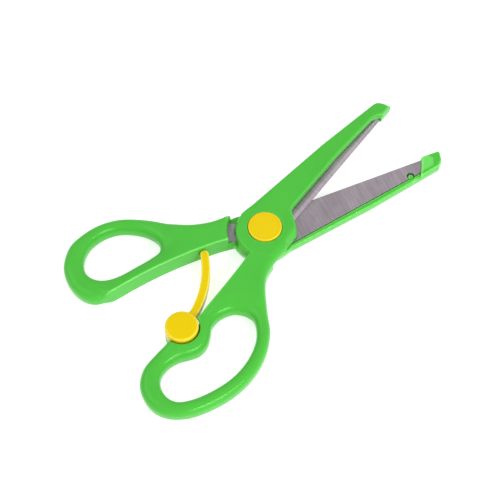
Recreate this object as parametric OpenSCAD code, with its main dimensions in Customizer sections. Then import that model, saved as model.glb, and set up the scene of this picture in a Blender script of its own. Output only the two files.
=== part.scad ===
// Child's spring-assisted safety scissors, shown resting open.
// Origin: on the pivot axis, in the plane the scissors lie on. +X points along the centre line
// between the blades, +Z is up. The upper half carries its blade on +Y and its handle on -Y;
// the lower half is the other way round. Millimetres and degrees.

/* [Overall] */

// Thickness of the scissors at the pivot and handles
body_t = 7.8; // [7.6:0.1:8.4]
// Gap between the two steel faces
blade_gap = 0.1; // [0.06:0.02:0.2]

/* [Blades] */

// Angle of each cutting edge from the centre line at rest
blade_angle = 15.1; // [14.8:0.1:15.6]
// Sideways distance from the pivot axis to the upper blade's cutting edge
upper_edge = 5.1; // [4.8:0.1:5.3]
// Sideways distance from the pivot axis to the lower blade's cutting edge
lower_edge = 5.6; // [5.3:0.1:5.8]
// Length from the pivot to the end of the steel, along the cutting edge
blade_reach = 62.5; // [61:0.5:63]
// Thickness of the steel
steel_t = 1.0; // [0.8:0.1:1.1]
// Width of the ground bevel behind the cutting edge
bevel_w = 1.1; // [0.8:0.1:1.4]

/* [Plastic covers] */

// Radius of the round boss at the parting plane
boss_r = 11.2; // [11:0.1:11.3]
// Distance from the pivot axis to the outer side of the blade cover, near the pivot
cover_r = 9.5; // [9.3:0.1:9.6]
// Width of bare steel between the cover and the cutting edge
steel_strip = 2.5; // [2.2:0.1:2.8]
// How far the blunt hood stands past the cutting edge
hood_lip = 0.5; // [0.4:0.1:0.6]

/* [Pivot] */

// Radius of the steel rivet
rivet_r = 2.0; // [1.8:0.1:2.2]
// Radius of the pivot cap
cap_r = 5.5; // [5.3:0.1:5.6]

/* [Opening lever] */

// Radius of the lever's round thumb disc
disc_r = 5.25; // [5.0:0.05:5.3]
// Width of the curved spring arm
arm_w = 2.5; // [2.2:0.1:2.6]
// Height of the top of the disc above the table
disc_top = 8.6; // [8.4:0.1:9.0]

/* [Hidden] */

$fn = 64;
mid_z = body_t / 2;
steel_z = mid_z + blade_gap / 2;    // shear face of the upper blade
plastic_z = steel_z + 0.05;         // plastic stands just behind the steel face
fit = 0.06;                         // clearance round the steel in its recess
cover_taper = 7.9;                  // cover's outer side against the cutting edge, near the pivot
cover_bow = 1.3;                    // the outer half of that side lies this much further out from the axis
bow_taper = 10.2;                   // and slopes in at this angle
bow_x = 33.6;                       // from here on, along the cutting edge
cover_foot = 38;                    // the bare steel keeps its full width up to here
cover_narrowing = 1.0;              // and is this much narrower at the hood
side_foot = 0.4;                    // upright part of the cover's sides
side_start = 7;                     // the sides slope from here on, past the boss
spine_r = 7.85;                     // spine of the steel, distance from the pivot axis
spine_taper = 9.0;
draft = 0.5;                        // covers narrow by this towards the outer face
boss_c = [-0.1, -1.0];              // centre of the boss, in its blade's frame
boss_flat = 9.7;                    // boss is cut flat here, behind the cutting edge
boss_corner = [4.6, 6.2];           // the flat ends in this bevelled corner
boss_throat = [[0.6, -5.5], [2.4, -2]];     // and its front runs in to where the steel comes out
root_x = 8.6;                       // where the bare steel starts, along the cutting edge
upper_hood = 66.3;                  // end of each hood
lower_hood = 67.3;
hood_round = [[-2.6, -1.1], [-0.6, -3.2]];  // corners of its blunt end, back from its tip
hood_draft = 40;                    // the end leans back by this above hood_rim
hood_rim = 1.5;
tang_angle = -140;                  // direction of the upper tang, about the pivot
tang_w = 7;
tang_len = 19;
step_r = 12.2;                      // full-thickness handles start at this radius
soft_edge = 0.5;                    // chamfer on the covers
hood_x = 60.5;                      // where the hood starts, along the cutting edge
hood_depth = 0.9;                   // hood reach past the shear face
peg_x = 53.9;
peg_inset = 0.65;
peg_r = 0.95;
notch_r = 1.3;
run_fit = 0.05;                     // radial clearance of the running fits

loop_low = 0.6;                     // underside of the rounded finger loops
loop_high = body_t - 0.6;
loop_steps = 3;                     // sections drawn for each listed station
neck_steps = 3;                     // points drawn for each listed one
section_points = 12;
squareness = 0.7;                   // 1 is an ellipse, 0 a rectangle

head_r = 4.2;
head_t = 0.8;
washer_r = 3.8;
washer_t = 0.5;
upset_r = 3.2;
upset_t = 0.6;
cap_seat = 6.0;                     // floor of the cap's pocket
cap_proud = 0.5;
cap_wall = 1.5;
cap_roof = 0.7;

lever_c = [-42.8, -12.3];           // lever's own pivot, on the upper half's finger loop
arm_bend = 35;                      // radius of the arm's curve
arm_reach = 27.95;                  // straight distance from the lever's pivot to the arm's tip
arm_dir = 38.2;                     // direction of that line at rest
arm_low = 2.8;
arm_high = 6.2;
seat_floor = 2.6;
seat_gap = 0.35;
stud_r = 1.6;
stud_head_r = 2.1;
stud_head_t = 0.7;
swing = 19;                         // how far the arm swings into its slot

// Stations round each finger loop: [outer side, hole side]
finger_loop = [
    [[-17.6, -23.4], [-23.2, -23.6]], [[-18.9, -18.6], [-23.5, -20.2]], [[-23.6, -13.4], [-26.2, -17]],
    [[-30.2, -12.2], [-30.4, -15.9]], [[-36.2, -13.2], [-34.4, -16.8]], [[-39.2, -12.4], [-37.1, -19.3]],
    [[-41, -9.6], [-39.8, -21.2]], [[-43.8, -8.6], [-43.1, -21.8]], [[-46.8, -10.2], [-46.4, -20.9]],
    [[-49.2, -12.9], [-49.5, -19.7]], [[-54.2, -13.8], [-53.5, -19.5]], [[-60.2, -15.6], [-57.2, -20.9]],
    [[-64.6, -20], [-59.3, -23.8]], [[-65.9, -26.6], [-59.7, -27.6]], [[-63.6, -32.2], [-58, -30.8]],
    [[-58.2, -36.4], [-53.6, -33]], [[-50.5, -38.7], [-47.6, -34.3]], [[-42.5, -39.4], [-41.2, -34.6]],
    [[-34.8, -38.2], [-35.2, -33.5]], [[-27.8, -35.1], [-29.8, -31.1]], [[-21.9, -30.1], [-25.9, -28]]
];
thumb_loop = [
    [[-23.4, 15.2], [-29.6, 17]], [[-24, 20.8], [-29.5, 19.9]], [[-27, 25.4], [-31.3, 23.6]],
    [[-31, 30.2], [-34.1, 27.1]], [[-35.4, 33.4], [-37.6, 29.7]], [[-41.2, 35.3], [-41.9, 31.1]],
    [[-47.4, 35.6], [-46.6, 31]], [[-53.2, 34.1], [-50.6, 29.4]], [[-58.6, 29.4], [-53.5, 26.5]],
    [[-61.2, 23.4], [-54.7, 22.8]], [[-60.6, 17.4], [-53.8, 19.3]], [[-57, 12.8], [-51.2, 16.6]],
    [[-50.8, 11], [-46.8, 15.1]], [[-43.5, 10.7], [-41, 14.5]], [[-36, 10], [-35.3, 14.2]],
    [[-28, 10.4], [-31.6, 14.7]]
];

// Flat-sided necks, joining each loop to the pivot
finger_neck = [
    [0, -7], [-5.5, -3], [-9, -3.9], [-16.5, -6.3], [-25, -9.1], [-34.6, -12], [-37.6, -13.6],
    [-36.2, -15.4], [-33.4, -15], [-30.4, -14.5], [-25.8, -15.7], [-22.4, -19.6], [-21.2, -24.5],
    [-20.2, -26.6], [-18.6, -25], [-16.8, -22], [-13.7, -17.6], [-10, -13.8], [-4.6, -11.1], [1.5, -9.7]
];
thumb_neck = [
    [0, 6], [-2, 10.2], [-5.4, 11.7], [-11.6, 13.4], [-17.6, 16.6], [-22.2, 20.6], [-25.2, 23.4],
    [-27.4, 22.2], [-28.6, 18.4], [-29.6, 15], [-32, 13.4], [-41, 13.6], [-49, 14.2], [-53, 14.6],
    [-56, 13.4], [-54, 11.9], [-46.5, 11], [-36, 9.9], [-25.8, 7.9], [-16, 5.4], [-9.6, 3.3], [-5, 3.4]
];

// ---- helpers ----

// Point on a smooth curve between b and c
function curve_point(a, b, c, d, t) =
    0.5 * (2 * b + (c - a) * t + (2 * a - 5 * b + 4 * c - d) * t * t + (3 * b - a - 3 * c + d) * t * t * t);

// Closed smooth curve through the points p
function smooth_loop(p, steps) = let (n = len(p)) [
    for (i = [0 : n - 1]) for (k = [0 : steps - 1])
        curve_point(p[(i + n - 1) % n], p[i], p[(i + 1) % n], p[(i + 2) % n], k / steps)
];

// Rounded band round a loop, its sections drawn between the outer side and the hole side
module loop_band(stations, low, high) {
    outer = smooth_loop([for (s = stations) s[0]], loop_steps);
    inner = smooth_loop([for (s = stations) s[1]], loop_steps);
    n = len(outer);
    m = section_points;
    points = [for (i = [0 : n - 1]) for (k = [0 : m - 1])
        let (p = (outer[i] + inner[i]) / 2 + (outer[i] - inner[i]) / 2 * rounded(cos((k + 0.5) * 360 / m)))
        [p[0], p[1], (low + high) / 2 + (high - low) / 2 * rounded(sin((k + 0.5) * 360 / m))]];
    polyhedron(points, [for (i = [0 : n - 1]) for (k = [0 : m - 1])
        let (a = i * m + k, b = i * m + (k + 1) % m, next = ((i + 1) % n) * m)
        for (f = [[a, b, next + (k + 1) % m], [a, next + (k + 1) % m, next + k]]) f]);
}

// Squares up a circle's sine or cosine, for a section between a circle and a rectangle
function rounded(v) = sign(v) * pow(abs(v), squareness);

// Turns an upper-half shape over into its place in the lower half
module turn_over() {
    translate([0, 0, body_t]) rotate([180, 0, 0]) children();
}

// Frame with x along the upper cutting edge
module blade_frame() {
    rotate([0, 0, blade_angle]) children();
}

function line_y(r, taper, x) = (r - x * sin(taper)) / cos(taper);

// ---- steel ----

module steel_outline(edge, grow = 0) {
    blade_frame() polygon([
        [0, -edge - grow],
        [blade_reach + grow, -edge - grow],
        [blade_reach + 1.2 + grow, -edge + 1.2],
        [blade_reach + grow, line_y(spine_r, spine_taper, blade_reach) + grow],
        [spine_r * sin(spine_taper), line_y(spine_r, spine_taper, spine_r * sin(spine_taper)) + grow],
        [0, 0]
    ]);
    circle(r = spine_r + 0.25 + grow);
    rotate([0, 0, tang_angle]) translate([0, -tang_w / 2 - grow]) square([tang_len + grow, tang_w + 2 * grow]);
}

module peg_place() {
    blade_frame() translate([peg_x, line_y(spine_r, spine_taper, peg_x) - peg_inset]) children();
}

module steel_blade(edge) {
    difference() {
        translate([0, 0, steel_z]) linear_extrude(steel_t) steel_outline(edge);
        // ground bevel, on the outer side
        blade_frame() translate([0, -edge, steel_z + 0.15]) rotate([atan2(steel_t - 0.15, bevel_w), 0, 0])
            translate([8, -2, 0]) cube([blade_reach, 2 + norm([steel_t, bevel_w]), 2]);
        translate([0, 0, steel_z - 1]) cylinder(r = rivet_r + run_fit, h = steel_t + 2);
        peg_place() translate([0, 0, steel_z - 1]) cylinder(r = notch_r, h = steel_t + 2);
    }
}

// ---- plastic at the pivot and round the blade, upper half ----

// Outer side and blunt end of the cover, from x = start to the tip of the hood
function cover_end(edge, hood, start) = [
    [start, line_y(cover_r + cover_bow, bow_taper, start)],
    [hood_x + 0.5, line_y(cover_r + cover_bow, bow_taper, hood_x + 0.5)],
    [hood, 0] + hood_round[0],
    [hood, 0] + hood_round[1],
    [hood, -edge],
    [hood - 0.2, -edge - hood_lip]
];

module cover_outline(edge, hood) {
    blade_frame() polygon(concat(
        [
            [0, 0],
            cover_r * [sin(cover_taper), cos(cover_taper)],
            [bow_x - 2.6, line_y(cover_r, cover_taper, bow_x - 2.6)]
        ],
        cover_end(edge, hood, bow_x + 2.9),
        [
            [hood_x, -edge - hood_lip],
            [hood_x - 1.2, -edge + steel_strip - cover_narrowing - 0.9],
            [hood_x - 3.2, -edge + steel_strip - cover_narrowing],
            [cover_foot, -edge + steel_strip],
            [root_x + 3.8, -edge + steel_strip],
            [root_x + 2, -edge + steel_strip - 0.4],
            [root_x, -edge],
            [0, -edge]
        ]
    ));
}

// Round boss, flattened behind the cutting edge and where the steel comes out
module boss_outline() {
    far = 2 * boss_r;
    blade_frame() intersection() {
        translate(boss_c) circle(r = boss_r);
        polygon([
            [-far, -boss_flat],
            [boss_corner[0], -boss_flat],
            [boss_corner[1], -boss_flat + 1],
            [root_x, 0] + boss_throat[0],
            [root_x, 0] + boss_throat[1],
            [far, 3],
            [far, far],
            [-far, far]
        ]);
    }
}

module pivot_cover(edge, hood) {
    height = body_t - plastic_z;
    slope = atan2(draft, height);
    difference() {
        union() {
            translate([0, 0, plastic_z]) linear_extrude(height) {
                cover_outline(edge, hood);
                boss_outline();
            }
            // blunt hood, reaching past the shear face
            blade_frame() translate([0, 0, steel_z - hood_depth]) linear_extrude(hood_depth + 1)
                polygon(concat(cover_end(edge, hood, hood_x - 3.9), [[hood_x, -edge - hood_lip]]));
        }
        // sloping outer side of the cover, in two stretches, and its softened rim
        for (side = [[cover_r, cover_taper, side_start], [cover_r + cover_bow, bow_taper, bow_x - 3]])
            blade_frame() rotate([0, 0, -side[1]]) {
                translate([side[2], side[0], plastic_z + side_foot]) rotate([slope, 0, 0])
                    cube([80, 5, 2 * height]);
                translate([side[2], side[0] - draft - soft_edge, body_t]) rotate([-45, 0, 0])
                    cube([80, 5, 5]);
            }
        blade_frame() translate([root_x + 3.4, -edge + steel_strip, body_t - soft_edge / 2])
            rotate([45, 0, 0]) translate([0, -5, 0]) cube([cover_foot - root_x, 5.3, 5]);
        // end of the hood
        blade_frame() translate([hood - 0.3, -20, body_t - hood_rim]) rotate([0, -hood_draft, 0])
            cube([10, 40, 10]);
    }
}

// Recess for the steel, closed above and below where it runs into the handle
module steel_room(edge) {
    translate([0, 0, steel_z - fit]) linear_extrude(steel_t + 2 * fit) steel_outline(edge, fit);
}

// Peg that keeps the spine of the steel in place
module spine_peg() {
    peg_place() translate([0, 0, steel_z + 0.25]) cylinder(r = peg_r, h = steel_t);
}

module pivot_bore() {
    translate([0, 0, -1]) cylinder(r = rivet_r + run_fit, h = body_t + 2);
}

// Room for the other half to turn in, from z = low to high
module turning_room(low, high) {
    translate([0, 0, low]) cylinder(r = step_r, h = high - low);
}

module handle(stations, neck) {
    loop_band(stations, loop_low, loop_high);
    linear_extrude(body_t) polygon(smooth_loop(neck, neck_steps));
}

// ---- halves ----

module at_lever() {
    translate([lever_c[0], lever_c[1], 0]) children();
}

// Centre of the arm's curve, seen from the lever's pivot, with the arm swung by a
function arm_centre(a) =
    let (t = arm_dir + a + 90 - asin(arm_reach / 2 / arm_bend)) arm_bend * [cos(t), sin(t)];

module upper_half() {
    color([0.33, 0.78, 0.29]) difference() {
        union() {
            difference() {
                union() {
                    handle(finger_loop, finger_neck);
                    at_lever() translate([0, 0, loop_low]) cylinder(r = disc_r + 0.1, h = seat_floor);
                }
                turning_room(-1, plastic_z);
            }
            pivot_cover(upper_edge, upper_hood);
        }
        steel_room(upper_edge);
        pivot_bore();
        translate([0, 0, cap_seat]) cylinder(r = cap_r + run_fit, h = body_t);
        // seat and stud hole of the lever
        at_lever() translate([0, 0, seat_floor]) cylinder(r = disc_r + seat_gap, h = body_t);
        at_lever() translate([0, 0, -1]) cylinder(r = stud_r + run_fit, h = body_t);
        at_lever() cylinder(r = stud_head_r + 0.2, h = loop_low + stud_head_t + 0.1);
        // slot in the neck that takes the arm when the handles close
        intersection() {
            at_lever() translate([arm_centre(-swing)[0], arm_centre(-swing)[1], arm_low - 0.3])
                cylinder(r = arm_bend + arm_w / 2 + 0.4, h = arm_high - arm_low + 0.6, $fn = 128);
            translate([lever_c[0], lever_c[1] - 4, 0]) cube([35, 30, body_t]);
        }
    }
    color([0.33, 0.78, 0.29]) spine_peg();
}

module lower_half() {
    color([0.33, 0.78, 0.29]) difference() {
        union() {
            difference() {
                handle(thumb_loop, thumb_neck);
                turning_room(body_t - plastic_z, body_t + 1);
            }
            turn_over() pivot_cover(lower_edge, lower_hood);
        }
        turn_over() steel_room(lower_edge);
        pivot_bore();
        translate([0, 0, -1]) cylinder(r = head_r + run_fit, h = 1.15 + head_t);
    }
    color([0.33, 0.78, 0.29]) turn_over() spine_peg();
}

module upper_blade() {
    color([0.62, 0.58, 0.62]) steel_blade(upper_edge);
}

module lower_blade() {
    color([0.62, 0.58, 0.62]) turn_over() steel_blade(lower_edge);
}

// ---- pivot hardware ----

module pivot_rivet() {
    color([0.7, 0.7, 0.72]) {
        translate([0, 0, 0.1]) cylinder(r = head_r, h = head_t);
        translate([0, 0, 0.1]) cylinder(r = rivet_r, h = cap_seat + washer_t);
        translate([0, 0, cap_seat + washer_t]) cylinder(r1 = upset_r, r2 = upset_r - upset_t / 2, h = upset_t);
    }
}

module pivot_washer() {
    color([0.7, 0.7, 0.72]) translate([0, 0, cap_seat]) difference() {
        cylinder(r = washer_r, h = washer_t);
        translate([0, 0, -1]) cylinder(r = rivet_r + run_fit, h = washer_t + 2);
    }
}

module pivot_cap() {
    top = body_t + cap_proud;
    color([0.97, 0.8, 0.1]) difference() {
        union() {
            translate([0, 0, cap_seat]) cylinder(r = cap_r, h = top - cap_seat - 0.3);
            translate([0, 0, top - 0.3]) cylinder(r1 = cap_r, r2 = cap_r - 0.3, h = 0.3);
        }
        translate([0, 0, cap_seat - 1]) cylinder(r = cap_r - cap_wall, h = top - cap_seat - cap_roof + 1);
    }
}

// ---- opening lever ----

module opening_lever() {
    rim = 0.8;
    sweep = 2 * asin(arm_reach / 2 / arm_bend);
    centre = arm_centre(0);
    start = atan2(-centre[1], -centre[0]);
    color([0.97, 0.8, 0.1]) at_lever() {
        translate([0, 0, seat_floor + 0.1]) cylinder(r = disc_r, h = disc_top - seat_floor - 0.1 - rim);
        translate([0, 0, disc_top - rim]) cylinder(r1 = disc_r, r2 = disc_r - rim, h = rim);
        translate([centre[0], centre[1], arm_low]) rotate([0, 0, start])
            rotate_extrude(angle = sweep, $fn = 128)
                translate([arm_bend - arm_w / 2, 0]) square([arm_w, arm_high - arm_low]);
        translate([arm_reach * cos(arm_dir), arm_reach * sin(arm_dir), arm_low])
            cylinder(r = arm_w / 2 + 0.08, h = arm_high - arm_low);
        // snap stud through the floor of the seat
        translate([0, 0, loop_low + stud_head_t / 2]) cylinder(r = stud_r, h = seat_floor);
        translate([0, 0, loop_low]) cylinder(r1 = stud_r - 0.3, r2 = stud_head_r, h = stud_head_t);
    }
}

upper_half();
lower_half();
upper_blade();
lower_blade();
pivot_rivet();
pivot_washer();
pivot_cap();
opening_lever();
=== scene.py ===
import itertools
import math

import bpy
import numpy as np
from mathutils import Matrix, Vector


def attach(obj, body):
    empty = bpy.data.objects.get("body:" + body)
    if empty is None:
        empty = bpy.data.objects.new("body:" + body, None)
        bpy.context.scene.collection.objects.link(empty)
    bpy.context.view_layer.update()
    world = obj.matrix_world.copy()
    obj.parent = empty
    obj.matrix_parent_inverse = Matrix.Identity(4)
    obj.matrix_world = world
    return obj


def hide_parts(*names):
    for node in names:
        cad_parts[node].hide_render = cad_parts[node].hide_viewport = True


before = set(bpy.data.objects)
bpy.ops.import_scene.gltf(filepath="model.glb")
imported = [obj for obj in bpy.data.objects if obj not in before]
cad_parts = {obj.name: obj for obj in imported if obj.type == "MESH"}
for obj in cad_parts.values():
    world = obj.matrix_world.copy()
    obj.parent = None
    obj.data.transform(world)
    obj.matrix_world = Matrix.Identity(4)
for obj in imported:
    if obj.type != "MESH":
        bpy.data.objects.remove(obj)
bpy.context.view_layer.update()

# ---------------------------------------------------------------- sizes, millimetres and degrees

BODY_T = 7.8
MID = BODY_T / 2
BLADE_ANGLE = 15.1
UPPER_EDGE, LOWER_EDGE = 5.1, 5.6  # cutting edges, sideways from the pivot axis
STRIP = 2.5  # steel in sight beside the cutting edge
STEEL_LOW = MID + 0.05
STEEL_TOP = STEEL_LOW + 1.0
PLASTIC_LOW = STEEL_LOW + 0.05
BOSS_R, BOSS_FLAT = 11.2, 9.7
UPPER_BOSS_DRAFT, LOWER_BOSS_DRAFT = 1.2, 0.9
BOSS_X, BOSS_Y = -0.1, -1.0
BOSS_CORNER = (9.2, -5.5)  # where the steel comes out
BACK_DRAFT = 1.7  # slope of the flat behind the cutting edge
UPPER_SIDES = ((9.5, 7.9), (11.05, 10.3))  # outer side of the cover, in two stretches: distance and taper
LOWER_SIDES = ((9.25, 7.85), (10.7, 10.2))
SPINE_R = 7.85
SPINE_TAPER = 9.0
DRAFT = 0.5
STEP_R = 12.2  # each neck is cut back this far round the other half's boss
TANG_ANGLE, TANG_W, TANG_LEN = -140, 7.0, 19.0
HOOD_X = 60.5
HOOD_DEPTH = 0.9
HOOD_LEAN, HOOD_SET, HOOD_RIM = 50, 0.3, 1.5  # slope of the blunt end, its set-back and its height
UPPER_HOOD_LIP, LOWER_HOOD_LIP = 0.5, 0.8
UPPER_HOOD_END, LOWER_HOOD_END = 66.3, 67.2
UPPER_HOOD_ROUND = ((-2.6, -1.1), (-0.6, -3.2))  # corners of the blunt end, back from its tip
LOWER_HOOD_ROUND = ((-2.9, -0.6), (-0.9, -2.5))
ROOT_X = 8.6
BOSS_FOOT, BOSS_THROAT = (6.2, 1 - BOSS_FLAT), (ROOT_X + 2.4, -2)
FOOT_DRAFT, THROAT_DRAFT = 0.5, 0.3
NARROWING = 1.0
REACH = 62.5
STEEL_ROOM = 0.12
GROOVE_IN, GROOVE_OUT, GROOVE_H = 0.5, 1.2, 0.5  # shadow groove under the cover's inner edge
PEG_X, PEG_INSET, PEG_R, NOTCH_R = 53.9, 0.65, 0.95, 1.3
CAP_R, CAP_SEAT, CAP_TOP = 5.5, 6.0, 8.3
CAP_WALL, CAP_SKIN = 1.5, 0.7
WELL_R, WELL_H = 4.25, 0.95  # well round the rivet's end, in the lower half
LOOP_LOW = 0.6
HOLE_ROUND = 2.7
CRISP_ROUND, SOFT_ROUND = 0.45, 2.6
LEVER = (-42.8, -12.3)
DISC_R, DISC_TOP = 5.25, 8.6
ARM_BEND, ARM_REACH, ARM_DIR, ARM_W = 35, 27.95, 38.2, 2.75
ARM_LOW, ARM_HIGH = 2.8, 6.2
ARM_STEPS = 24
ARM_ROOM, ARM_SIDE_ROOM = 0.3, 0.4
SLOT_LONG, SLOT_BELOW = 35, 4
STUD_R, HEAD_R, HEAD_H, HEAD_TAPER = 1.6, 2.0, 0.7, 0.8  # the snap stud under the disc
SEAT_FLOOR, SEAT_GAP = 2.6, 0.35
SWING = 19

STEP = 0.3  # size of the cells the moulded shapes are drawn in
FINE = 0.2
RIDGE_FROM, RIDGE_FULL = 0.8, 2.5  # convex edges this sharp, in 1/mm, get a painted highlight: a lighter base colour

# For each handle: its outer side, its hole, the area that is flat and of full thickness, and the line along
# which the outer edge stays crisp
FINGER_OUT = [
    (0, -6), (-5.5, -3), (-9, -3.9), (-16.5, -6.4), (-25, -8.95), (-32.5, -11.1), (-36.6, -12.3),
    (-39, -11.7), (-41, -9.6), (-43.8, -8.6), (-46.8, -10.2), (-49.2, -12.9), (-54.2, -13.8),
    (-60.2, -15.6), (-64.6, -20), (-65.9, -26.6), (-63.6, -32.2), (-58.2, -36.4), (-50.5, -38.7),
    (-42.5, -39.4), (-34.8, -38.2), (-27.8, -35.1), (-21.9, -30.1), (-18.2, -24.3), (-13.7, -17.6), (-10, -13.8),
    (-4.6, -11.3), (1.5, -9.7), (3, -7),
]
FINGER_HOLE = [
    (-23.2, -23.6), (-23.5, -20.2), (-26.2, -17), (-30.4, -15.9), (-34.4, -16.8), (-37.1, -19.3),
    (-39.8, -21.2), (-43.1, -21.8), (-46.4, -20.9), (-49.5, -19.7), (-53.5, -19.5), (-57.2, -20.9),
    (-59.3, -23.8), (-59.7, -27.6), (-58, -30.8), (-53.6, -33), (-47.6, -34.3), (-41.2, -34.6), (-35.2, -33.5),
    (-29.8, -31.1), (-25.9, -28),
]
FINGER_WEB = [
    (0, -4), (-9, -2), (-25, -7), (-34, -10), (-36, -14), (-30, -12.5), (-24, -14), (-19.5, -18.5),
    (-15, -20), (-8, -14), (2, -10),
]
FINGER_CRISP = [(-4, -2.6), (-9, -3.9), (-16.5, -6.4), (-25, -8.95), (-34.6, -11.8)]
THUMB_OUT = [
    (0, 6), (-2, 10.2), (-5.4, 11.7), (-11.6, 13.4), (-17.4, 16.6), (-22.2, 21), (-26.6, 26.2), (-31, 30.4),
    (-35.4, 33.4), (-41.2, 35.35), (-47.4, 35.6), (-53.4, 34.3), (-58.8, 29.6), (-61.2, 23.4), (-60.8, 17.1),
    (-57.8, 12.8), (-52.5, 11.4), (-45, 10.8), (-36, 9.7), (-25.8, 7.7), (-16, 5.1), (-9.6, 2.85), (-4, 2.4),
]
THUMB_HOLE = [
    (-29.9, 17), (-29.7, 19.9), (-31.3, 23.6), (-34.1, 27), (-37.6, 29.6), (-41.9, 30.9), (-46.5, 30.7),
    (-50.3, 29), (-53.1, 26.2), (-54.4, 22.8), (-53.6, 19.6), (-51.1, 17.1), (-46.8, 15.6), (-41, 15),
    (-35.3, 14.6), (-31.6, 14.9),
]
THUMB_WEB = [
    (0, 0), (0, 12), (-8, 14), (-16, 16), (-22, 19.5), (-25.5, 17.5), (-28, 12.5), (-34, 11.4), (-44, 12.4),
    (-52, 13), (-50, 9), (-25, 6), (-9, 1),
]
THUMB_CRISP = [(-5, 2.4), (-9.6, 2.85), (-16, 5.1), (-25.8, 7.7), (-36, 9.7), (-45, 10.8), (-50.5, 11.2)]


def line_y(r, taper, x):
    """Height at x of a line that passes r from the pivot and falls by taper."""
    t = math.radians(taper)
    return (r - x * math.sin(t)) / math.cos(t)


def upper_or_lower(edge, upper, lower):
    return upper if edge == UPPER_EDGE else lower


def hood_end(edge):
    return upper_or_lower(edge, UPPER_HOOD_END, LOWER_HOOD_END)


def cover_sides(edge):
    return upper_or_lower(edge, UPPER_SIDES, LOWER_SIDES)


def hood_side(edge):
    return -edge - upper_or_lower(edge, UPPER_HOOD_LIP, LOWER_HOOD_LIP)


def cover_end(edge):
    end = hood_end(edge)
    corners = upper_or_lower(edge, UPPER_HOOD_ROUND, LOWER_HOOD_ROUND)
    return [
        (HOOD_X + 0.5, line_y(*cover_sides(edge)[1], HOOD_X + 0.5)),
        *((end + back, side) for back, side in corners),
        (end, -edge), (end - 0.2, hood_side(edge)),
    ]


def cover_plan(edge):
    inner = -edge + STRIP
    return [
        (0, 0), (0, 14), (40, 12), (60, 4), *cover_end(edge),
        (HOOD_X, hood_side(edge)), (HOOD_X - 1.2, inner - NARROWING - 0.9), (HOOD_X - 3.2, inner - NARROWING),
        (38, inner), (ROOT_X + 3.8, inner), (ROOT_X + 2, inner - 0.4), (ROOT_X, -edge), (0, -edge),
    ]


def hood_plan(edge):
    start = HOOD_X - 3.9
    foot = (start, line_y(*cover_sides(edge)[1], start))
    return [(HOOD_X, hood_side(edge)), *reversed(cover_end(edge)), foot]


def steel_shape(edge):
    start = SPINE_R * math.sin(math.radians(SPINE_TAPER))
    return [
        (0, -edge), (REACH, -edge), (REACH + 1.2, -edge + 1.2), (REACH, line_y(SPINE_R, SPINE_TAPER, REACH)),
        (start, line_y(SPINE_R, SPINE_TAPER, start)), (0, 0),
    ]


# ---------------------------------------------------------------- distance fields


def smooth_loop(points, steps):
    """Closed smooth curve through the points."""
    p = np.array(points, float)
    out = []
    for i in range(len(p)):
        a, b, c, d = p[i - 1], p[i], p[(i + 1) % len(p)], p[(i + 2) % len(p)]
        for k in range(steps):
            t = k / steps
            square = (2 * a - 5 * b + 4 * c - d) * t**2
            cube = (3 * b - a - 3 * c + d) * t**3
            out.append(0.5 * (2 * b + (c - a) * t + square + cube))
    return np.array(out)


def outline(x, y, points):
    """Signed distance in the plane to a closed outline, negative inside."""
    p = np.array(points, float)
    best = np.full(np.broadcast(x, y).shape, 1e9)
    inside = np.zeros(best.shape, bool)
    for a, b in zip(p, np.roll(p, -1, 0)):
        ex, ey = b - a
        wx, wy = x - a[0], y - a[1]
        t = np.clip((wx * ex + wy * ey) / (ex * ex + ey * ey + 1e-12), 0, 1)
        best = np.minimum(best, (wx - t * ex) ** 2 + (wy - t * ey) ** 2)
        if a[1] != b[1]:
            crosses = (a[1] > y) != (b[1] > y)
            inside ^= crosses & (x < (b[0] - a[0]) * (y - a[1]) / (b[1] - a[1]) + a[0])
    best = np.sqrt(best)
    return np.where(inside, -best, best)


def path(x, y, points):
    """Distance in the plane to an open line."""
    p = np.array(points, float)
    best = np.full(np.broadcast(x, y).shape, 1e9)
    for a, b in zip(p[:-1], p[1:]):
        ex, ey = b - a
        wx, wy = x - a[0], y - a[1]
        t = np.clip((wx * ex + wy * ey) / (ex * ex + ey * ey), 0, 1)
        best = np.minimum(best, (wx - t * ex) ** 2 + (wy - t * ey) ** 2)
    return np.sqrt(best)


def slab(plan, z, low, high, r=0.0):
    """The plan carried from low to high, with edges of radius r."""
    a = plan + r
    b = np.abs(z - (low + high) / 2) - (high - low) / 2 + r
    return np.minimum(np.maximum(a, b), 0) + np.hypot(np.maximum(a, 0), np.maximum(b, 0)) - r


def join(a, b, k):
    """Both shapes together, the inner corner between them filled by about k."""
    h = np.maximum(k - np.abs(a - b), 0) / k
    return np.minimum(a, b) - h * h * k / 4


def cut(a, b, k=0.25):
    """a without b, its new edge rounded by about k."""
    return -join(-a, b, k)


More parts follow.
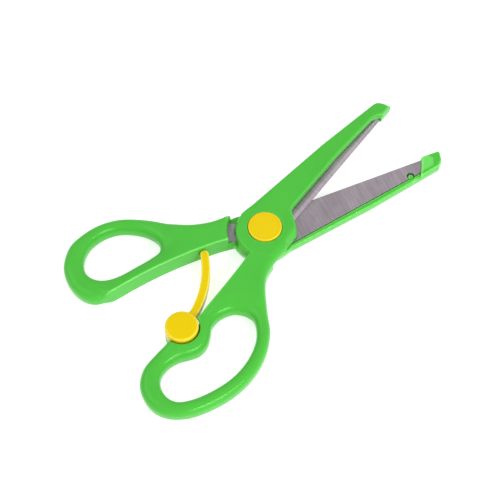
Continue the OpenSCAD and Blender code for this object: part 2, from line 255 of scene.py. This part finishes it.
def mesh_of(field, low, step):
    """Quads over the zero level of a field on a grid, with one vertex in each crossed cell.

    Also gives each vertex its normal and its bend, the sum of the surface's curvatures in 1/mm.
    """
    f = field
    n = np.array(f.shape)
    solid = f < 0
    total = np.zeros(tuple(n - 1) + (3,))
    count = np.zeros(tuple(n - 1))
    cells = [slice(0, -1)] * 3
    for axis in range(3):
        a = [slice(None)] * 3
        b = [slice(None)] * 3
        a[axis], b[axis] = slice(0, -1), slice(1, None)
        fa, fb = f[tuple(a)], f[tuple(b)]
        crossed = (fa < 0) != (fb < 0)
        t = np.where(crossed, fa / np.where(crossed, fa - fb, 1), 0)
        u, v = [k for k in range(3) if k != axis]
        for du in (0, 1):
            for dv in (0, 1):
                s = [slice(None)] * 3
                s[u] = slice(du, n[u] - 1 + du)
                s[v] = slice(dv, n[v] - 1 + dv)
                c, tt = crossed[tuple(s)], t[tuple(s)]
                count += c
                total[..., axis] += np.where(c, tt, 0)
                total[..., u] += np.where(c, du, 0)
                total[..., v] += np.where(c, dv, 0)
    used = count > 0
    index = np.full(used.shape, -1)
    index[used] = np.arange(used.sum())
    where = np.argwhere(used)
    verts = where + total[used] / count[used][:, None]
    faces = []
    for axis in range(3):
        u, v = (axis + 1) % 3, (axis + 2) % 3
        a = [slice(1, -1)] * 3
        b = [slice(1, -1)] * 3
        a[axis], b[axis] = slice(0, -1), slice(1, None)
        sa, sb = solid[tuple(a)], solid[tuple(b)]
        for first, flip in ((sa & ~sb, False), (~sa & sb, True)):
            p = np.argwhere(first)
            p[:, u] += 1
            p[:, v] += 1
            corner = []
            for du, dv in ((1, 1), (0, 1), (0, 0), (1, 0)):
                q = p.copy()
                q[:, u] -= du
                q[:, v] -= dv
                corner.append(index[q[:, 0], q[:, 1], q[:, 2]])
            quad = np.stack(corner, 1)
            faces.append(quad[:, ::-1] if flip else quad)
    faces = np.concatenate(faces)
    grads = np.stack(np.gradient(f), -1)
    for _ in range(3):  # steps along the slope, onto the zero level
        value, slope = sample(f, verts), sample(grads, verts)
        move = slope * (value / np.maximum((slope**2).sum(1), 1e-9))[:, None]
        verts = verts - np.clip(move, -0.4, 0.4)
    normals = sample(grads, verts)
    normals /= np.maximum(np.linalg.norm(normals, axis=1), 1e-9)[:, None]
    bend = sum(np.gradient(grads[..., k], axis=k) for k in range(3)) / step**2
    return verts * step + np.array(low), faces, normals, sample(bend, verts)


def sample(f, p):
    """A grid's values at points between its corners."""
    i = np.clip(np.floor(p).astype(int), 0, np.array(f.shape[:3]) - 2)
    t = p - i
    out = 0
    for corner in itertools.product((0, 1), repeat=3):
        weight = np.prod(np.where(corner, t, 1 - t), axis=1)
        value = f[tuple((i + corner).T)]
        out = out + (weight[:, None] * value if value.ndim > 1 else weight * value)
    return out


def piece(name, field, low, high, step, highlight_strength):
    """A mesh object for the zero level of field(x, y, z) in a box, in millimetres.

    Its ridge attribute is high on sharp convex edges and carries a painted highlight there; the last argument
    scales it.
    """
    x = np.arange(low[0], high[0] + step, step)[:, None, None]
    y = np.arange(low[1], high[1] + step, step)[None, :, None]
    z = np.arange(low[2], high[2] + step, step)[None, None, :]
    whole_box = 0 * (x + y + z)
    verts, faces, normals, bend = mesh_of(field(x, y, z) + whole_box, low, step)
    mesh = bpy.data.meshes.new(name)
    mesh.from_pydata((verts / 1000).tolist(), [], faces.tolist())
    mesh.polygons.foreach_set("use_smooth", [True] * len(mesh.polygons))
    mesh.normals_split_custom_set_from_vertices(normals.tolist())
    # painted highlight: sharp convex edges get a lighter colour, as specular highlights would
    sharp = np.clip((bend - RIDGE_FROM) / (RIDGE_FULL - RIDGE_FROM), 0, 1)
    ridge = mesh.attributes.new("ridge", "FLOAT", "POINT")
    ridge.data.foreach_set("value", highlight_strength * sharp)
    ob = bpy.data.objects.new(name, mesh)
    bpy.context.scene.collection.objects.link(ob)
    return ob


# ---------------------------------------------------------------- the moulded halves


def turned_frame(x, y, angle):
    t = math.radians(angle)
    return x * math.cos(t) + y * math.sin(t), y * math.cos(t) - x * math.sin(t)


def in_blade_frame(x, y):
    return turned_frame(x, y, BLADE_ANGLE)


def steel_plan(x, y, edge):
    u, v = in_blade_frame(x, y)
    d = np.minimum(outline(u, v, steel_shape(edge)), np.hypot(x, y) - SPINE_R - 0.25)
    return np.minimum(d, tang_plan(x, y))


def tang_plan(x, y):
    u, v = turned_frame(x, y, TANG_ANGLE)
    return np.maximum(np.abs(v) - TANG_W / 2, np.abs(u - TANG_LEN / 2) - TANG_LEN / 2)


def half_plane(u, v, a, b):
    """Distance beyond the line from a to b, to its right."""
    length = math.hypot(b[0] - a[0], b[1] - a[1])
    return ((u - a[0]) * (b[1] - a[1]) - (v - a[1]) * (b[0] - a[0])) / length


def both(a, b, k):
    """Where the two shapes overlap, the edge between them rounded by about k."""
    return -join(-a, -b, k)


def pivot_side(x, y, z, edge):
    """Boss, blade cover, hood and peg of one half, the way the upper half lies."""
    u, v = in_blade_frame(x, y)
    rise = np.clip((z - PLASTIC_LOW) / (BODY_T - PLASTIC_LOW), 0, 1)
    outer = -99
    for r, taper in cover_sides(edge):
        t = math.radians(taper)
        outer = np.maximum(outer, u * math.sin(t) + v * math.cos(t) - r + DRAFT * rise)
    cover = np.maximum(outline(u, v, cover_plan(edge)), outer)
    boss_draft = upper_or_lower(edge, UPPER_BOSS_DRAFT, LOWER_BOSS_DRAFT)
    boss = np.hypot(u - BOSS_X, v - BOSS_Y) - BOSS_R + boss_draft * rise
    back = -v - BOSS_FLAT + BACK_DRAFT * rise
    foot_side = half_plane(u, v, BOSS_FOOT, BOSS_CORNER) + FOOT_DRAFT * rise
    throat_side = half_plane(u, v, BOSS_CORNER, BOSS_THROAT) + THROAT_DRAFT * rise
    boss = both(boss, both(back, both(foot_side, throat_side, 0.8), 1.0), 0.6)
    body = slab(join(boss, cover, 0.6), z, PLASTIC_LOW, BODY_T, 0.75)
    lean = math.radians(HOOD_LEAN)
    end = (u - hood_end(edge) + HOOD_SET) * math.cos(lean) + (z - BODY_T + HOOD_RIM) * math.sin(lean)
    body = both(body, end, 0.8)
    hood = np.maximum(outline(u, v, hood_plan(edge)), outer) + 0.05
    body = join(body, slab(hood, z, STEEL_LOW - HOOD_DEPTH, STEEL_TOP + 1, 0.45), 0.3)
    steel = steel_plan(x, y, edge) - STEEL_ROOM
    body = cut(body, slab(steel, z, STEEL_LOW - 0.3, STEEL_TOP + 0.05), STEEL_ROOM)
    groove = np.maximum(np.maximum(steel, cover - GROOVE_IN), -cover - GROOVE_OUT)
    groove = np.maximum(groove, np.maximum(ROOT_X + 2 - u, u - HOOD_X + 0.2))
    body = cut(body, slab(groove, z, STEEL_LOW, STEEL_TOP + GROOVE_H), STEEL_ROOM)
    peg_y = line_y(SPINE_R, SPINE_TAPER, PEG_X) - PEG_INSET
    from_peg = np.hypot(u - PEG_X, v - peg_y)
    body = cut(body, slab(from_peg - NOTCH_R, z, STEEL_LOW - 1, STEEL_TOP + 1.2), 0.15)
    peg = np.hypot(u - PEG_X, v - peg_y - 0.2) - PEG_R
    return np.minimum(body, slab(peg, z, STEEL_LOW + 0.2, STEEL_TOP + 1.6, 0.35))


def ease(v, low, high):
    """0 at low, 1 at high, with no kink at either end."""
    t = np.clip((v - low) / (high - low), 0, 1)
    return t * t * (3 - 2 * t)


def handle(x, y, z, outer, hole, web, crisp, raised=0):
    """Rounded finger loop that flattens into a full-thickness web with one crisp side."""
    outer = outline(x, y, smooth_loop(outer, 5)) + 0.1
    hole = outline(x, y, smooth_loop(hole, 5))
    flat = np.maximum(1 - ease(outline(x, y, smooth_loop(web, 4)), -2, 3), raised)
    half = MID - LOOP_LOW + LOOP_LOW * flat
    edge_round = CRISP_ROUND + (SOFT_ROUND - CRISP_ROUND) * ease(path(x, y, crisp), 1.5, 6)
    whole = slab(outer, z, MID - half, MID + half, edge_round)
    outside_hole = slab(-hole, z, MID - half, MID + half, HOLE_ROUND)
    return both(whole, outside_hole, 0.9)


def arm_centre(swing):
    """Centre of the arm's arc, from the lever's pivot, with the lever turned by swing."""
    t = math.radians(ARM_DIR + swing + 90 - math.degrees(math.asin(ARM_REACH / 2 / ARM_BEND)))
    return ARM_BEND * math.cos(t), ARM_BEND * math.sin(t)


def arm_line():
    """The arm's centre line, from the middle of the disc to its end."""
    cx, cy = arm_centre(0)
    start = math.atan2(-cy, -cx)
    sweep = 2 * math.asin(ARM_REACH / 2 / ARM_BEND)
    turns = [start + sweep * k / ARM_STEPS for k in range(ARM_STEPS + 1)]
    return [(cx + ARM_BEND * math.cos(t), cy + ARM_BEND * math.sin(t)) for t in turns]


def upper_half(x, y, z):
    lx, ly = x - LEVER[0], y - LEVER[1]
    from_lever = np.hypot(lx, ly)
    body = handle(x, y, z, FINGER_OUT, FINGER_HOLE, FINGER_WEB, FINGER_CRISP, 1 - ease(from_lever, 6, 12))
    body = np.minimum(body, slab(from_lever - DISC_R - 0.1, z, LOOP_LOW, LOOP_LOW + SEAT_FLOOR, 0.4))
    r = np.hypot(x, y)
    body = cut(body, np.maximum(r - STEP_R, z - PLASTIC_LOW), 1.2)
    body = join(body, pivot_side(x, y, z, UPPER_EDGE), 0.5)
    body = np.maximum(body, np.abs(z - MID) - MID)
    tang = slab(tang_plan(x, y) - 0.06, z, STEEL_LOW - 0.06, STEEL_TOP + 0.06)
    body = cut(body, tang, 0.1)
    body = cut(body, np.maximum(r - CAP_R - 0.1, CAP_SEAT - z), 0.35)
    body = cut(body, np.maximum(from_lever - DISC_R - SEAT_GAP, SEAT_FLOOR - z), 0.6)
    cx, cy = arm_centre(-SWING)
    slot = np.hypot(lx - cx, ly - cy) - ARM_BEND - ARM_W / 2 - ARM_SIDE_ROOM
    slot = slab(slot, z, ARM_LOW - ARM_ROOM, ARM_HIGH + ARM_ROOM)
    slot = np.maximum(slot, np.maximum(-lx, lx - SLOT_LONG))
    slot = np.maximum(slot, -ly - SLOT_BELOW)
    return cut(body, slot)


def lower_half(x, y, z):
    body = handle(x, y, z, THUMB_OUT, THUMB_HOLE, THUMB_WEB, THUMB_CRISP)
    r = np.hypot(x, y)
    body = cut(body, np.maximum(r - STEP_R, BODY_T - PLASTIC_LOW - z), 1.2)
    body = join(body, pivot_side(x, -y, BODY_T - z, LOWER_EDGE), 0.5)
    body = np.maximum(body, np.abs(z - MID) - MID)
    tang = slab(tang_plan(x, -y) - 0.06, z, BODY_T - STEEL_TOP - 0.06, BODY_T - STEEL_LOW + 0.06)
    body = cut(body, tang, 0.1)
    return cut(body, np.maximum(r - WELL_R, z - WELL_H), 0.2)


def opening_lever(x, y, z):
    lx, ly = x - LEVER[0], y - LEVER[1]
    arm = slab(path(lx, ly, arm_line()) - ARM_W / 2, z, ARM_LOW, ARM_HIGH, 0.45)
    r = np.hypot(lx, ly)
    disc = slab(r - DISC_R, z, SEAT_FLOOR + 0.1, DISC_TOP, 0.75)
    body = join(disc, arm, 2.2)
    stud = slab(r - STUD_R, z, LOOP_LOW + 0.1, SEAT_FLOOR + 1)
    cone = r - HEAD_R + np.clip(LOOP_LOW + HEAD_H - z, 0, 1) * HEAD_TAPER
    head = slab(cone, z, LOOP_LOW, LOOP_LOW + HEAD_H, 0.1)
    return np.minimum(body, np.minimum(stud, head))


def pivot_cap(x, y, z):
    r = np.hypot(x, y)
    body = slab(r - CAP_R, z, CAP_SEAT, CAP_TOP, 0.4)
    return cut(body, np.maximum(r - CAP_R + CAP_WALL, z - CAP_TOP + CAP_SKIN), 0.2)


# ---------------------------------------------------------------- materials


def nodes_of(name):
    m = bpy.data.materials.new(name)
    m.use_nodes = True
    t = m.node_tree
    return m, t, t.nodes["Principled BSDF"]


def add(tree, kind, **inputs):
    n = tree.nodes.new(kind)
    for k, v in inputs.items():
        n.inputs[k.replace("_", " ")].default_value = v
    return n


def noise(tree, coords, scale, detail, rough=0.5):
    n = add(tree, "ShaderNodeTexNoise", Scale=scale, Detail=detail, Roughness=rough)
    tree.links.new(coords, n.inputs["Vector"])
    return n.outputs["Fac"]


def ranged(tree, value, low, high, a=0.3, b=0.7):
    n = add(tree, "ShaderNodeMapRange", From_Min=a, From_Max=b, To_Min=low, To_Max=high)
    tree.links.new(value, n.inputs["Value"])
    return n.outputs["Result"]


def mixed(tree, fac, a, b):
    n = tree.nodes.new("ShaderNodeMix")
    n.data_type = "RGBA"
    n.inputs["A"].default_value = a
    n.inputs["B"].default_value = b
    tree.links.new(fac, n.inputs["Factor"])
    return n.outputs["Result"]


def plastic(name, light, dark, highlight_colour, sheen, rough):
    """Moulded plastic, clouded from light to dark, smeared in its gloss, with a painted highlight: a lighter
    colour along its sharp ridges.
    """
    m, t, p = nodes_of(name)
    co = t.nodes.new("ShaderNodeTexCoord").outputs["Object"]
    cloud = noise(t, co, 60, 4)
    # painted highlight: the base colour is mixed towards a lighter tint where the ridge attribute is high
    painted_highlight = t.nodes.new("ShaderNodeMix")
    painted_highlight.data_type = "RGBA"
    painted_highlight.inputs["B"].default_value = highlight_colour
    t.links.new(mixed(t, ranged(t, cloud, 0, 1), light, dark), painted_highlight.inputs["A"])
    edge = t.nodes.new("ShaderNodeAttribute")
    edge.attribute_name = "ridge"
    t.links.new(edge.outputs["Fac"], painted_highlight.inputs["Factor"])
    t.links.new(painted_highlight.outputs["Result"], p.inputs["Base Color"])
    smear = noise(t, co, 220, 5, 0.6)
    t.links.new(ranged(t, smear, *rough), p.inputs["Roughness"])
    fine = noise(t, co, 2600, 3, 0.6)
    flow = noise(t, co, 90, 2)
    total = add(t, "ShaderNodeMath")
    total.operation = "MULTIPLY_ADD"
    t.links.new(fine, total.inputs[0])
    total.inputs[1].default_value = 0.25
    t.links.new(flow, total.inputs[2])
    bump = add(t, "ShaderNodeBump", Strength=0.12, Distance=0.0003)
    t.links.new(total.outputs["Value"], bump.inputs["Height"])
    t.links.new(bump.outputs["Normal"], p.inputs["Normal"])
    p.inputs["Specular IOR Level"].default_value = 0.5
    p.inputs["Specular Tint"].default_value = sheen
    p.inputs["Subsurface Weight"].default_value = 0.06
    p.inputs["Subsurface Radius"].default_value = (0.001, 0.0012, 0.0006)
    return m


def ground_steel(name, angle, light, dark, along=2600, across=80, strength=0.3):
    """Steel with grinding lines across a blade that points at angle, in degrees from +X."""
    m, t, p = nodes_of(name)
    co = t.nodes.new("ShaderNodeTexCoord").outputs["Object"]
    turn = t.nodes.new("ShaderNodeMapping")
    turn.vector_type = "TEXTURE"
    turn.inputs["Rotation"].default_value = (0, 0, math.radians(angle))
    t.links.new(co, turn.inputs["Vector"])
    stretch = t.nodes.new("ShaderNodeMapping")
    stretch.inputs["Scale"].default_value = (along, across, across)
    t.links.new(turn.outputs["Vector"], stretch.inputs["Vector"])
    lines = noise(t, stretch.outputs["Vector"], 1.6, 4, 0.65)
    grain = noise(t, co, 1500, 3, 0.7)
    cloud = noise(t, co, 120, 3)
    tint = mixed(t, ranged(t, lines, 0, 1), dark, light)
    blotch = t.nodes.new("ShaderNodeMix")
    blotch.data_type = "RGBA"
    blotch.blend_type = "MULTIPLY"
    blotch.inputs["B"].default_value = (0.80, 0.78, 0.80, 1)
    t.links.new(ranged(t, cloud, 0, 1), blotch.inputs["Factor"])
    t.links.new(tint, blotch.inputs["A"])
    t.links.new(blotch.outputs["Result"], p.inputs["Base Color"])
    t.links.new(ranged(t, grain, 0.34, 0.52), p.inputs["Roughness"])
    bump = add(t, "ShaderNodeBump", Strength=strength, Distance=0.00004)
    t.links.new(lines, bump.inputs["Height"])
    t.links.new(bump.outputs["Normal"], p.inputs["Normal"])
    p.inputs["Metallic"].default_value = 0.8
    return m


# the third colour of each plastic is its painted edge highlight
green = plastic(
    "green_plastic", light=(0.071, 0.475, 0.046, 1), dark=(0.062, 0.44, 0.04, 1),
    highlight_colour=(0.22, 0.8, 0.17, 1), sheen=(0.45, 1, 0.4, 1), rough=(0.13, 0.22),
)
yellow = plastic(
    "yellow_plastic", light=(0.75, 0.55, 0.001, 1), dark=(0.71, 0.51, 0.001, 1),
    highlight_colour=(1.0, 0.8, 0.12, 1), sheen=(1, 0.9, 0.15, 1), rough=(0.2, 0.3),
)
# the upper blade's steel is painted lighter than the lower's, to make up for the shade beside its cover
steel_up = ground_steel("upper_steel", BLADE_ANGLE, (0.56, 0.50, 0.545, 1), (0.38, 0.33, 0.365, 1))
steel_low = ground_steel("lower_steel", -BLADE_ANGLE, (0.50, 0.44, 0.485, 1), (0.33, 0.285, 0.32, 1))
rivet_steel = ground_steel("rivet_steel", 0, (0.55, 0.54, 0.55, 1), (0.42, 0.41, 0.42, 1), 500, 500, 0.2)

# ---------------------------------------------------------------- pieces

# Drawn again in place of CAD nodes: name, field, its box, cell size, strength of the painted edge highlight,
# node, body, material, slot
PIECES = [
    (
        "upper_half_moulding", upper_half, (-68, -42, -1), (68, 19, 9), STEP, 0.45,
        "upper_half", "upper_scissor", green, "green_plastic",
    ),
    (
        "lower_half_moulding", lower_half, (-64, -20, -1), (68, 38, 9), STEP, 1.0,
        "lower_half", "lower_scissor", green, "green_plastic",
    ),
    (
        "lever_moulding", opening_lever, (-50, -19.5, 0), (-18, 7.5, 9.5), FINE, 1.0,
        "opening_lever", "lever", yellow, "yellow_plastic",
    ),
    (
        "cap_moulding", pivot_cap, (-7, -7, 5), (7, 7, 9), FINE, 0.3,
        "pivot_cap", "upper_scissor", yellow, "yellow_plastic",
    ),
]
for name, field, low, high, step, highlight_strength, node, body, material, slot in PIECES:
    ob = piece(name, field, low, high, step, highlight_strength)
    ob.data.materials.append(material)
    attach(ob, body)
    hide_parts(node)

# Steel nodes of the CAD that are kept: node, material, bevel in metres, slot
STEEL = [
    ("upper_blade", steel_up, 0.00006, "blade_steel"),
    ("lower_blade", steel_low, 0.00006, "blade_steel"),
    ("pivot_rivet", rivet_steel, 0.0001, "rivet_steel"),
    ("pivot_washer", rivet_steel, 0.00005, "rivet_steel"),
]
for node, material, bevel, slot in STEEL:
    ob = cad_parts[node]
    ob.data.materials.clear()
    ob.data.materials.append(material)
    weld = ob.modifiers.new("weld", "WELD")
    weld.merge_threshold = 1e-6
    edge = ob.modifiers.new("edge", "BEVEL")
    edge.width = bevel
    edge.segments = 2
    edge.limit_method = "ANGLE"
    edge.angle_limit = math.radians(25)

# ---------------------------------------------------------------- floor, lights, camera

bpy.ops.mesh.primitive_plane_add(size=6, location=(0, 0, 0))
floor = bpy.context.object
floor.name = "floor"
m, t, p = nodes_of("floor_white")
p.inputs["Base Color"].default_value = (0.6, 0.6, 0.6, 1)
p.inputs["Roughness"].default_value = 0.6
p.inputs["Specular IOR Level"].default_value = 0.1
p.inputs["Emission Color"].default_value = (1, 1, 1, 1)
p.inputs["Emission Strength"].default_value = 0.65
floor.data.materials.append(m)

world = bpy.data.worlds.new("studio")
bpy.context.scene.world = world
world.use_nodes = True
world.node_tree.nodes["Background"].inputs["Color"].default_value = (1, 1, 1, 1)
world.node_tree.nodes["Background"].inputs["Strength"].default_value = 0.8


def soft_light(name, place, size, watts):
    data = bpy.data.lights.new(name, "AREA")
    data.shape = "RECTANGLE"
    data.size, data.size_y = size
    data.energy = watts
    ob = bpy.data.objects.new(name, data)
    ob.location = place
    ob.rotation_euler = (-Vector(place)).to_track_quat("-Z", "Y").to_euler()
    bpy.context.scene.collection.objects.link(ob)


soft_light("front", (-0.12, -0.75, 0.42), (0.45, 0.45), 1.6)
soft_light("strip", (0.06, -0.62, 0.59), (0.5, 0.06), 2.4)
soft_light("top", (-0.3, 0.45, 0.8), (0.6, 0.6), 1.0)

ELEVATION, AZIMUTH = 59, 38.5  # degrees
CAMERA_AT = (-0.13607, -0.16332, 0.34696)
LENS, SENSOR = 89.28, 36

e, a = math.radians(ELEVATION), math.radians(AZIMUTH)
forward = Vector((math.cos(e) * math.sin(a), math.cos(e) * math.cos(a), -math.sin(e)))
cam_data = bpy.data.cameras.new("camera")
cam_data.sensor_width = SENSOR
cam_data.lens = LENS
cam_data.clip_start = 0.01
cam = bpy.data.objects.new("camera", cam_data)
cam.location = CAMERA_AT
cam.rotation_euler = forward.to_track_quat("-Z", "Y").to_euler()
bpy.context.scene.collection.objects.link(cam)
bpy.context.scene.camera = cam
bpy.context.scene.view_settings.view_transform = "Standard"
